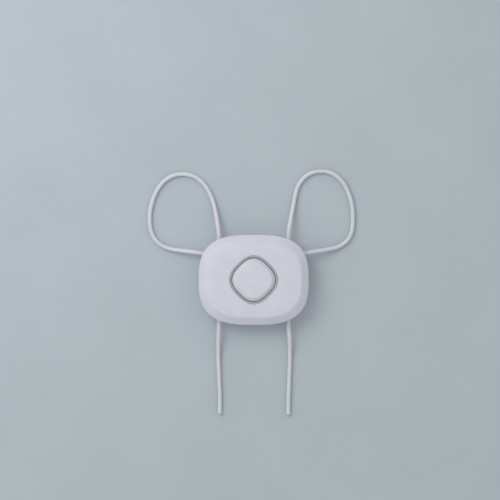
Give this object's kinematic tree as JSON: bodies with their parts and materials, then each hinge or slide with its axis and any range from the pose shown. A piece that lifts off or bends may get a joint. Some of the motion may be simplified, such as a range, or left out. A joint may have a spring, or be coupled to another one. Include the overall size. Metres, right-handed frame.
{
  "type": "cabinet safety lock",
  "caption": "Child safety lock with a rounded flat housing, a decoy push button in its front, side release buttons and looped cords that tighten round cabinet knobs.",
  "frame": {"origin": "centre of the housing's flat back", "axes": "+Z out of the front, towards the user; +Y from the tails to the loops, up in use; +X to the right as seen from the front"},
  "size_m": [0.1436, 0.1705, 0.0209],
  "materials": {
    "shell": "satin moulded white plastic",
    "button": "satin moulded white plastic",
    "trim": "satin light grey plastic",
    "cord": "smooth white coated cord",
    "cam": "hard moulded plastic",
    "sleeve": "crimped",
    "pin_steel": "ground",
    "spring_steel": "drawn wire",
    "screw_steel": "zinc plated"
  },
  "bodies": {
    "housing": {"front_cover": "shell", "rear_cover": "shell", "button_trim_ring": "trim", "decoy_spring": "spring_steel", "left_release_spring": "spring_steel", "right_release_spring": "spring_steel", "left_cam_pin": "pin_steel", "right_cam_pin": "pin_steel", "left_cam_spring": "spring_steel", "right_cam_spring": "spring_steel", "left_cord": "cord", "right_cord": "cord", "left_cord_anchor": "sleeve", "right_cord_anchor": "sleeve", "housing_screws": "screw_steel"},
    "decoy": {"decoy_button": "button"},
    "left_release": {"left_release_button": "button"},
    "right_release": {"right_release_button": "button"},
    "left_cam_body": {"left_cam": "cam"},
    "right_cam_body": {"right_cam": "cam"}
  },
  "joints": [
    {"name": "decoy_press", "type": "slide", "parent": "housing", "child": "decoy", "axis": [0, 0, -1], "range_m": [0, 0.0018], "stiffness_N_per_m": 400, "springref_m": -0.002, "deforming": ["decoy_spring"]},
    {"name": "left_release_press", "type": "slide", "parent": "housing", "child": "left_release", "axis": [1, 0, 0], "range_m": [0, 0.0025], "stiffness_N_per_m": 400, "springref_m": -0.0015, "deforming": ["left_release_spring"]},
    {"name": "right_release_press", "type": "slide", "parent": "housing", "child": "right_release", "axis": [-1, 0, 0], "range_m": [0, 0.0025], "stiffness_N_per_m": 400, "springref_m": -0.0015, "deforming": ["right_release_spring"]},
    {"name": "left_cam_swing", "type": "hinge", "parent": "housing", "child": "left_cam_body", "pos_m": [-0.03055, -0.0122, 0.0065], "axis": [0, 0, -1], "range_deg": [0, 16], "deforming": ["left_cam_spring"]},
    {"name": "right_cam_swing", "type": "hinge", "parent": "housing", "child": "right_cam_body", "pos_m": [0.03055, -0.0122, 0.0065], "axis": [0, 0, 1], "range_deg": [0, 16], "deforming": ["right_cam_spring"]}
  ],
  "couplings": [
    {"joint": "left_cam_swing", "follows": "left_release_press", "rad_per_m": 111.11},
    {"joint": "right_cam_swing", "follows": "right_release_press", "rad_per_m": 111.11}
  ]
}
